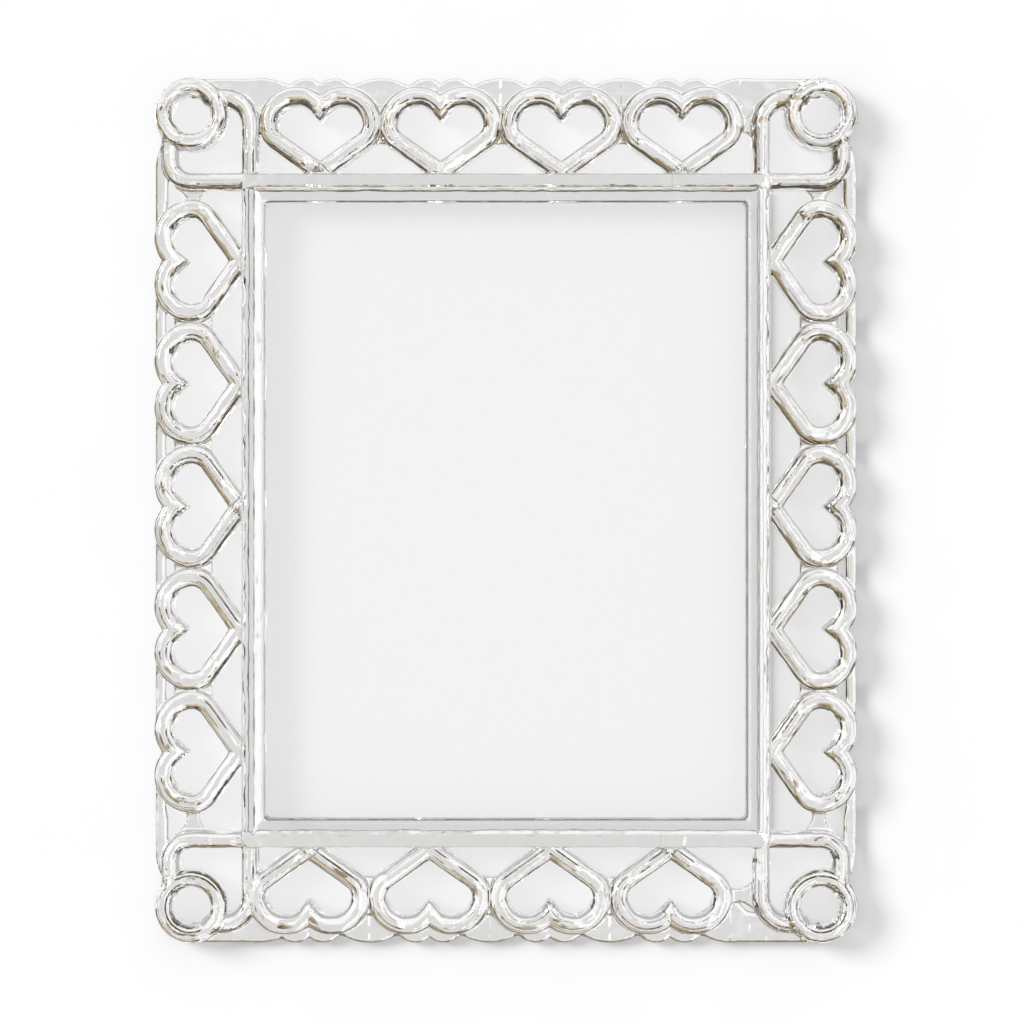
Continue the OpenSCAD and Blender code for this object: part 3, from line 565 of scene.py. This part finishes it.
def bump(tree, shader, source, strength, distance):
    node = tree.nodes.new("ShaderNodeBump")
    node.inputs["Strength"].default_value = strength
    node.inputs["Distance"].default_value = distance
    tree.links.new(source, node.inputs["Height"])
    tree.links.new(node.outputs["Normal"], shader.inputs["Normal"])


def math_node(tree, operation, *values):
    node = tree.nodes.new("ShaderNodeMath")
    node.operation = operation
    for n, value in enumerate(values):
        if isinstance(value, (int, float)):
            node.inputs[n].default_value = value
        else:
            tree.links.new(value, node.inputs[n])
    return node.outputs["Value"]


def relief(tree, name, points, height):
    """A height that follows a measure of the mesh, through points of measure and height."""
    curve = tree.nodes.new("ShaderNodeFloatCurve")
    low, high = points[0][0], points[-1][0]
    raised = math_node(tree, "SUBTRACT", attribute(tree, name), low)
    scaled = math_node(tree, "DIVIDE", raised, high - low)
    line = curve.mapping.curves[0]
    for at, value in points[1:-1]:
        line.points.new((at - low) / (high - low), value)
    line.points[0].location = (0, points[0][1])
    line.points[-1].location = (1, points[-1][1])
    for point in line.points:
        point.handle_type = "VECTOR"
    curve.mapping.update()
    tree.links.new(scaled, curve.inputs["Value"])
    return math_node(tree, "MULTIPLY", curve.outputs["Value"], height)


def dull_path(tree):
    """One for a ray that comes from a matt surface, where acrylic only dims."""
    depth = tree.nodes.new("ShaderNodeLightPath").outputs["Diffuse Depth"]
    return math_node(tree, "GREATER_THAN", depth, 0.5)


def light_only(tree):
    """One for a ray that only carries light: a shadow ray, or one from a matt surface."""
    shadow = tree.nodes.new("ShaderNodeLightPath").outputs["Is Shadow Ray"]
    return math_node(tree, "MAXIMUM", shadow, dull_path(tree))


# Fine relief of the moulding: a raised band along a strand's middle, in millimetres from
# it, and a bead and a step across a rail, in shares of its width from the sight edge.
# The sight line is a darker tint painted along the sight edge of the low and the right rail, as painted shade
# for the dark line refraction shows there
STRAND_RELIEF, STRAND_RELIEF_H = ((0, 1), (0.9, 1), (1.6, 0), (12, 0)), 0.62
RAIL_RELIEF, RAIL_RELIEF_H = (
    (-0.2, 0.4), (0.0, 0.4), (0.1, 0.5), (0.14, 0.5), (0.17, 0.3), (1.2, 0.3)), 0.6
PAINTED_SIGHT_LINE, PAINTED_SIGHT_DARKNESS = (
    (-0.2, 0), (-0.06, 0), (-0.02, 1), (0.04, 1), (0.09, 0), (1.2, 0)), 0.9
# The second colour is the painted shade of the sight line
CLEAR, PAINTED_SIGHT_SHADE = (0.985, 0.985, 0.98), (0.16, 0.15, 0.13)

# The noise levels between which the strands' band wears away, and the share of light that
# passes: through flat parts, through the moulding's upper left, and the loss to the lower right
WORN = (0.44, 0.56)
PASSED, PASSED_INNER, PASSED_LOSS = 0.9, 0.92, -0.36


def acrylic(name, wave, moulded=False):
    """Clear acrylic that lets part of the light through to what lies behind it."""
    mat, tree, shader = new_material(name)
    shader.inputs["Base Color"].default_value = (*CLEAR, 1)
    shader.inputs["Transmission Weight"].default_value = 1
    shader.inputs["IOR"].default_value = 1.49
    ramp(tree, noise(tree, 60, 4), 0.0, 0.02, shader.inputs["Roughness"])
    height = math_node(tree, "MULTIPLY", noise(tree, 110, 1.5), wave)
    clear = see_through(tree, grey(PASSED))
    if moulded:
        worn = soft_step(tree, noise(tree, 48, 1.0), *WORN)
        band = relief(tree, "across", STRAND_RELIEF, STRAND_RELIEF_H)
        height = math_node(tree, "ADD", height, math_node(tree, "MULTIPLY", band, worn))
        height = math_node(tree, "ADD", height, relief(tree, "along_rail", RAIL_RELIEF, RAIL_RELIEF_H))
        # A darker tint painted along the sight edge of the low and right rails: painted shade
        line = relief(tree, "along_rail", PAINTED_SIGHT_LINE, PAINTED_SIGHT_DARKNESS)
        dark = math_node(tree, "MULTIPLY", line, attribute(tree, "painted_sight_shade"))
        tint(tree, dark, CLEAR, PAINTED_SIGHT_SHADE, shader.inputs["Base Color"])
        shade = math_node(tree, "MULTIPLY_ADD", attribute(tree, "outward"), PASSED_LOSS, PASSED_INNER)
        tree.links.new(shade, clear.inputs["Color"])
    bump(tree, shader, height, 1.0, MM)
    to_surface(tree, mixed_shader(tree, light_only(tree), shader.outputs["BSDF"], clear.outputs["BSDF"]))
    return mat


def clear_sheet(name):
    """A flat pane: its outer faces mirror at a slant and otherwise let light straight through."""
    mat, tree, shader = new_material(name)
    tree.nodes.remove(shader)
    clear = see_through(tree, (0.99, 0.992, 0.992))
    gloss = tree.nodes.new("ShaderNodeBsdfGlossy")
    ramp(tree, noise(tree, 40, 3), 0.02, 0.06, gloss.inputs["Roughness"])
    fresnel = tree.nodes.new("ShaderNodeFresnel")
    fresnel.inputs["IOR"].default_value = 1.3
    leaving = tree.nodes.new("ShaderNodeNewGeometry").outputs["Backfacing"]
    straight = math_node(tree, "MAXIMUM", light_only(tree), leaving)
    mirror = math_node(tree, "MULTIPLY", fresnel.outputs["Fac"], math_node(tree, "SUBTRACT", 1, straight))
    to_surface(tree, mixed_shader(tree, mirror, clear.outputs["BSDF"], gloss.outputs["BSDF"]))
    return mat


def paper(name, low, high, scale, rough=0.85, depth=0.00004):
    """A matt, faintly grained surface; the grain's depth is in metres."""
    mat, tree, shader = new_material(name)
    grain = noise(tree, scale, 6)
    tint(tree, grain, low, high, shader.inputs["Base Color"])
    shader.inputs["Roughness"].default_value = rough
    shader.inputs["Specular IOR Level"].default_value = 0.2
    bump(tree, shader, grain, 0.3, depth)
    return mat


def let_light_by(mat):
    """Makes a look cast no shade."""
    tree = mat.node_tree
    shader = tree.nodes["Principled BSDF"]
    to_surface(tree, mixed_shader(tree, light_only(tree), shader.outputs["BSDF"],
                                  see_through(tree).outputs["BSDF"]))


def steel(name):
    mat, tree, shader = new_material(name)
    shader.inputs["Metallic"].default_value = 1
    brush = noise(tree, 900, 5, (1, 0.03, 1))
    tint(tree, brush, (0.4, 0.4, 0.41), (0.56, 0.56, 0.57), shader.inputs["Base Color"])
    ramp(tree, brush, 0.22, 0.4, shader.inputs["Roughness"])
    bump(tree, shader, brush, 0.25, 0.00003)
    return mat


def dress(obj, mat):
    obj.data.materials.clear()
    obj.data.materials.append(mat)


ACRYLIC = acrylic("clear_acrylic", 0.9, moulded=True)
SHEET_ACRYLIC = acrylic("clear_acrylic_sheet", 0.02)
PANE = clear_sheet("pane_acrylic")
CARD = paper("white_card", (0.86, 0.86, 0.855), (0.885, 0.885, 0.88), 700)
BOARD = paper("white_board", (0.8, 0.8, 0.78), (0.86, 0.86, 0.84), 420, 0.75, 0.00008)
STEEL = steel("nickel_steel")
# Painted shade for the pane's edges, near black and grey; both are made to cast no shadow below
PAINTED_DARK_PANE_EDGE = paper("painted_dark_pane_edge", (0.05, 0.048, 0.04), (0.1, 0.095, 0.085), 300, 0.4)
PAINTED_GREY_PANE_EDGE = paper("painted_grey_pane_edge", (0.42, 0.42, 0.41), (0.55, 0.55, 0.54), 300, 0.3)
for look in (PAINTED_DARK_PANE_EDGE, PAINTED_GREY_PANE_EDGE):
    let_light_by(look)


# The pieces other than the moulding

def bevel(bm, edges, width):
    bmesh.ops.bevel(bm, geom=edges, offset=width * MM, segments=2, profile=0.5, affect="EDGES",
                    clamp_overlap=True)


def bevelled_plate(name, x, y, w, width):
    """A rectangular plate of the flat frame, each given as a low and a high size."""
    mesh = bpy.data.meshes.new(name)
    bm = bmesh.new()
    outline = ((x[0], y[0]), (x[1], y[0]), (x[1], y[1]), (x[0], y[1]))
    low, high = [[bm.verts.new(place(a, b, level)) for a, b in outline] for level in w]
    bm.faces.new(low[::-1])
    bm.faces.new(high)
    for n in range(4):
        m = (n + 1) % 4
        bm.faces.new((low[n], low[m], high[m], high[n]))
    bevel(bm, bm.edges[:], width)
    bm.to_mesh(mesh)
    bm.free()
    return mesh


def turned(name, centre, profile, steps=32):
    """Solids of revolution about the frame's depth axis: profile holds radius and depth."""
    mesh = bpy.data.meshes.new(name)
    bm = bmesh.new()
    for cx, cy in centre:
        rings = []
        for r, w in profile:
            if r == 0:
                rings.append([bm.verts.new(place(cx, cy, w))])
                continue
            rings.append([bm.verts.new(place(cx + r * math.cos(2 * math.pi * n / steps),
                                             cy + r * math.sin(2 * math.pi * n / steps), w))
                          for n in range(steps)])
        for a, b in zip(rings, rings[1:]):
            for n in range(steps):
                m = (n + 1) % steps
                corners = [a[n % len(a)], a[m % len(a)], b[m % len(b)], b[n % len(b)]]
                bm.faces.new(list(dict.fromkeys(corners)))
    bmesh.ops.recalc_face_normals(bm, faces=bm.faces[:])
    bm.to_mesh(mesh)
    bm.free()
    return mesh


def flat_place(point):
    """A world point back in the flat frame's millimetres."""
    off = Vector(point) - ORIGIN
    return off.dot(AX) / MM, off.dot(AY) / MM, off.dot(AW) / MM


CONTENT_X, CONTENT_Y, PANE_X = 101.9, 127.3, 101.0
CARD_W, CARD_BEVEL = (3.06, 3.3), 0.05
PANE_W, PANE_BEVEL = (3.46, 5.36), 0.34
card = add_object("card", bevelled_plate("card", (-CONTENT_X, CONTENT_X), (-CONTENT_Y, CONTENT_Y),
                                         CARD_W, CARD_BEVEL), "frame", False)
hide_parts("blank_insert")
dress(card, CARD)
pane = add_object("pane", bevelled_plate("pane", (-PANE_X, PANE_X), (-CONTENT_Y, CONTENT_Y),
                                         PANE_W, PANE_BEVEL), "frame", False)
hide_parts("window_pane")
dress(pane, PANE)

# The pane's left and top edges carry a near-black painted shade line, and the other two a grey painted shade
pane.data.materials.append(PAINTED_DARK_PANE_EDGE)
pane.data.materials.append(PAINTED_GREY_PANE_EDGE)
for face in pane.data.polygons:
    flat = abs(face.normal.dot(AW)) > 0.99
    if not flat:
        face.material_index = 1 if face.normal.dot(AY) - face.normal.dot(AX) > 0 else 2

PIN_R, PIN_TOP_R, PIN_SIDE_R, PIN_HEAD_R = 1.1, 1.45, 1.68, 2.4
PIN_HEAD_W, PIN_UNDER_W, PIN_END_W = -3.0, -1.72, -0.02
PIN_CHAMFER, PIN_SIDE = 0.12, 0.15
pivots = [flat_place(j["pos_m"])[:2] for j in frame["joints"] if j["name"].startswith("turn_button")]
pins = add_object("pins", turned("pins", pivots, (
    (0, PIN_HEAD_W), (PIN_TOP_R, PIN_HEAD_W), (PIN_SIDE_R, PIN_HEAD_W + PIN_CHAMFER),
    (PIN_HEAD_R, PIN_UNDER_W - PIN_SIDE), (PIN_HEAD_R - PIN_CHAMFER, PIN_UNDER_W), (PIN_R, PIN_UNDER_W),
    (PIN_R, PIN_END_W), (0, PIN_END_W))), "frame")
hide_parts("button_pins")
dress(pins, SHEET_ACRYLIC)

MERGE_M, FLAT_ANGLE, SHARP_ANGLE = 1e-6, math.radians(2), math.radians(35)


def softened(name, body_name, width):
    """A node's shape with its sharp edges bevelled, in millimetres."""
    node = frame["nodes"][name]
    mesh = bpy.data.meshes.new(name + "_soft")
    bm = bmesh.new()
    bm.from_mesh(node.data)
    bmesh.ops.remove_doubles(bm, verts=bm.verts[:], dist=MERGE_M)
    bmesh.ops.dissolve_limit(bm, angle_limit=FLAT_ANGLE, verts=bm.verts[:], edges=bm.edges[:])
    bevel(bm, [e for e in bm.edges if len(e.link_faces) == 2 and e.calc_face_angle(0) > SHARP_ANGLE], width)
    bm.to_mesh(mesh)
    bm.free()
    obj = add_object(name + "_soft", mesh, body_name, False)
    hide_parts(name)
    return obj


SOFTENED = {"backing_board": (0.25, BOARD), "hinge_plate": (0.12, STEEL), "leg_bracket": (0.12, STEEL),
            "easel_leg": (0.3, SHEET_ACRYLIC), "sawtooth_hanger": (0.1, STEEL)}
SOFTENED.update({n: (0.2, SHEET_ACRYLIC) for n in frame["nodes"] if n.startswith("turn_button")})
for name, (width, look) in SOFTENED.items():
    dress(softened(name, frame["nodes"][name]["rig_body"], width), look)

STEP, QUICK_STEP = 0.8, 1.2
dress(make_moulding(STEP), ACRYLIC)

# Solids that no piece replaces show as they are, and the others wear the same looks as their pieces
NODE_LOOKS = {"window_pane": PANE, "blank_insert": CARD, "backing_board": BOARD,
              "easel_leg": SHEET_ACRYLIC}
for name, node in frame["nodes"].items():
    if name in NODE_LOOKS:
        dress(node, NODE_LOOKS[name])
    elif name.startswith(("turn_button", "button_pins")):
        dress(node, SHEET_ACRYLIC)
    elif name.split("_")[0] in ("rail", "heart", "knot"):
        dress(node, ACRYLIC)
    else:
        dress(node, STEEL)


# Stage: a white backdrop just behind the frame, and a floor behind it

def stage_material(name, one_sided):
    """A pale matt ground that a ray through the acrylic doesn't see."""
    mat, tree, shader = new_material(name)
    tint(tree, noise(tree, 30, 2), grey(0.93), grey(0.94), shader.inputs["Base Color"])
    shader.inputs["Roughness"].default_value = 1
    shader.inputs["Specular IOR Level"].default_value = 0
    unseen = tree.nodes.new("ShaderNodeLightPath").outputs["Is Transmission Ray"]
    if one_sided:
        behind = tree.nodes.new("ShaderNodeNewGeometry").outputs["Backfacing"]
        unseen = math_node(tree, "MAXIMUM", unseen, behind)
    to_surface(tree, mixed_shader(tree, unseen, shader.outputs["BSDF"], see_through(tree).outputs["BSDF"]))
    return mat


def stage_mesh(name, quads, mat):
    mesh = bpy.data.meshes.new(name)
    verts, faces = [], []
    for quad in quads:
        faces.append(tuple(range(len(verts), len(verts) + 4)))
        verts.extend(quad)
    mesh.from_pydata([tuple(v) for v in verts], [], faces)
    obj = bpy.data.objects.new(name, mesh)
    bpy.context.scene.collection.objects.link(obj)
    dress(obj, mat)
    return obj


# The backdrop has a hole behind the contents and most of the rails
BACK_W, HOLE_INSET = -0.3, 1.5
HOLE_X, HOLE_Y = RAIL_X - HOLE_INSET, RAIL_Y - HOLE_INSET
WALL_X, WALL_LOW, WALL_HIGH = 1300.0, -1100.0, 1500.0
FLOOR_X, FLOOR_BACK = 1.3, 1.6
wall_rects = ((-WALL_X, WALL_X, WALL_LOW, -HOLE_Y), (-WALL_X, WALL_X, HOLE_Y, WALL_HIGH),
              (-WALL_X, -HOLE_X, -HOLE_Y, HOLE_Y), (HOLE_X, WALL_X, -HOLE_Y, HOLE_Y))
stage_mesh("backdrop", [[place(x0, y0, BACK_W), place(x1, y0, BACK_W), place(x1, y1, BACK_W),
                         place(x0, y1, BACK_W)] for x0, x1, y0, y1 in wall_rects],
           stage_material("backdrop_white", True))
foot = place(0, -HALF_H, BACK_W)
floor_y = foot.y - foot.z * math.tan(LEAN)
stage_mesh("floor", [[(-FLOOR_X, floor_y, 0), (FLOOR_X, floor_y, 0), (FLOOR_X, FLOOR_BACK, 0),
                      (-FLOOR_X, FLOOR_BACK, 0)]], stage_material("floor_white", False))


# Light: a key lamp at the upper left, soft light all round, and a strip light to the right
# that shows only in direct reflections

def tone_ramp(tree, tones, source):
    """A colour that follows a cosine from -1 to 1, through points of cosine and colour."""
    half = math_node(tree, "MULTIPLY_ADD", source, 0.5, 0.5)
    node = tree.nodes.new("ShaderNodeValToRGB")
    elements = node.color_ramp.elements
    elements[0].position, elements[1].position = tones[0][0] * 0.5 + 0.5, tones[-1][0] * 0.5 + 0.5
    elements[0].color, elements[1].color = (*tones[0][1], 1), (*tones[-1][1], 1)
    for at, value in tones[1:-1]:
        elements.new(at * 0.5 + 0.5).color = (*value, 1)
    tree.links.new(half, node.inputs["Fac"])
    return node.outputs["Color"]


def cosine(tree, direction, axis):
    node = tree.nodes.new("ShaderNodeVectorMath")
    node.operation = "DOT_PRODUCT"
    node.inputs[1].default_value = axis
    tree.links.new(direction, node.inputs[0])
    return node.outputs["Value"]


def mixed(tree, factor, a, b):
    node = tree.nodes.new("ShaderNodeMix")
    node.data_type = "RGBA"
    tree.links.new(factor, node.inputs["Factor"])
    tree.links.new(a, node.inputs["A"])
    tree.links.new(b, node.inputs["B"])
    return node.outputs["Result"]


def glow(tree, colour, strength=1.0):
    node = tree.nodes.new("ShaderNodeBackground")
    node.inputs["Strength"].default_value = strength
    tree.links.new(colour, node.inputs["Color"])
    return node.outputs["Background"]


# Tones of the studio, by the cosine to the frame's depth axis, or to its X axis for the strip.
# Through the acrylic a ray sees the open field, and dark flags on the side of the FLAG direction
WHITE = grey(0.97)
WARM = (0.47, 0.37, 0.21)
DARK = (0.034, 0.024, 0.012)
SOFT_TONES = ((-1, grey(0.56)), (0, grey(0.56)), (1, grey(0.58)))
OPEN_TONES = ((-1, grey(0.7)), (-0.994, grey(0.73)), (-0.978, WHITE), (-0.88, WHITE), (-0.83, grey(0.5)),
              (-0.55, grey(0.42)), (-0.4, WHITE), (1, grey(0.84)))
FLAG_TONES = ((-1, grey(0.7)), (-0.988, grey(0.73)), (-0.98, (0.8, 0.76, 0.68)), (-0.95, WARM),
              (-0.84, WARM), (-0.8, DARK), (-0.6, DARK), (-0.5, WARM),
              (-0.35, (0.84, 0.8, 0.7)), (1, grey(0.84)))
SPOT_TONES = ((-1, grey(0.7)), (-0.985, grey(0.72)), (-0.965, WARM), (-0.945, WARM),
              (-0.925, DARK), (-0.4, DARK), (-0.3, WARM), (-0.2, grey(0.84)), (1, grey(0.84)))
STRIP_TONES = ((-1, grey(0.07)), (0.17, grey(0.07)), (0.22, grey(1)), (0.5, grey(1)), (0.56, grey(0.07)),
               (1, grey(0.07)))
STRIP_STRENGTH, STRIP_FRONT = 8.0, 0.5

# The flags' edge and its ragged breaks, and the dark spots inside them
FLAG, FLAG_EDGE = AY + AX * 0.3, (-0.06, 0.14)
BREAK_SCALE, BREAK_DETAIL, BREAK_DEPTH = 4.5, 1.5, 1.3
SPOT_SCALE, SPOT_DETAIL, SPOT_EDGE = 9, 1, (0.46, 0.53)


def make_world():
    """Soft light, white to the camera, and a bright field with dark flags seen through acrylic."""
    world = bpy.data.worlds.new("studio")
    bpy.context.scene.world = world
    world.use_nodes = True
    tree = world.node_tree
    direction = tree.nodes.new("ShaderNodeTexCoord").outputs["Generated"]
    path = tree.nodes.new("ShaderNodeLightPath")
    tilt = cosine(tree, direction, AW)
    soft = tree.nodes["Background"]
    tree.links.new(tone_ramp(tree, SOFT_TONES, tilt), soft.inputs["Color"])
    strip = glow(tree, tone_ramp(tree, STRIP_TONES, cosine(tree, direction, AX)), STRIP_STRENGTH)
    front = math_node(tree, "GREATER_THAN", tilt, STRIP_FRONT)
    mirrored = math_node(tree, "MULTIPLY", path.outputs["Is Reflection Ray"], path.outputs["Is Glossy Ray"])
    near = mixed_shader(tree, math_node(tree, "MULTIPLY", front, mirrored), soft.outputs["Background"], strip)
    breaks = noise_at(tree, direction, BREAK_SCALE, BREAK_DETAIL)
    ragged = math_node(tree, "MULTIPLY_ADD", breaks, 2 * BREAK_DEPTH, -BREAK_DEPTH)
    edge = math_node(tree, "ADD", cosine(tree, direction, FLAG), ragged)
    spot = soft_step(tree, noise_at(tree, direction, SPOT_SCALE, SPOT_DETAIL), *SPOT_EDGE)
    flagged = mixed(tree, spot, tone_ramp(tree, FLAG_TONES, tilt), tone_ramp(tree, SPOT_TONES, tilt))
    field = glow(tree, mixed(tree, soft_step(tree, edge, *FLAG_EDGE), tone_ramp(tree, OPEN_TONES, tilt),
                             flagged))
    through = math_node(tree, "SUBTRACT", path.outputs["Is Transmission Ray"], dull_path(tree))
    white = tree.nodes.new("ShaderNodeBackground")
    white.inputs["Color"].default_value = (1, 1, 1, 1)
    seen = mixed_shader(tree, path.outputs["Is Camera Ray"], mixed_shader(tree, through, near, field),
                        white.outputs["Background"])
    tree.links.new(seen, tree.nodes["World Output"].inputs["Surface"])


def add_sun(name, towards, spread, strength):
    light = bpy.data.lights.new(name, "SUN")
    light.angle = spread
    light.energy = strength
    obj = bpy.data.objects.new(name, light)
    bpy.context.scene.collection.objects.link(obj)
    obj.rotation_mode = "QUATERNION"
    obj.rotation_quaternion = towards.to_track_quat("Z", "Y")


KEY = (AX * -1.12 + AY * 0.52 + AW * 1.0).normalized()
KEY_SPREAD, KEY_STRENGTH = math.radians(24), 2.5
make_world()
add_sun("key", KEY, KEY_SPREAD, KEY_STRENGTH)


# Camera: square to the face, as the photograph is, with one pixel to PIXEL_MM at the depth SCALE_W
PHOTO_PIXELS, PIXEL_MM, SENSOR_MM = 1024, 0.395, 36
CAMERA_X, CAMERA_Y, CAMERA_W, SCALE_W = 2.4, -0.6, 1800.0, 8
cam_data = bpy.data.cameras.new("camera")
cam = bpy.data.objects.new("camera", cam_data)
bpy.context.scene.collection.objects.link(cam)
cam_data.sensor_width = SENSOR_MM
cam_data.lens = SENSOR_MM * (CAMERA_W - SCALE_W) / (PHOTO_PIXELS * PIXEL_MM)
cam_data.clip_start, cam_data.clip_end = 0.01, 20
cam.matrix_world = Matrix.Translation(place(CAMERA_X, CAMERA_Y, CAMERA_W)) @ AXES
bpy.context.scene.camera = cam

bpy.context.scene.view_settings.view_transform = "Standard"
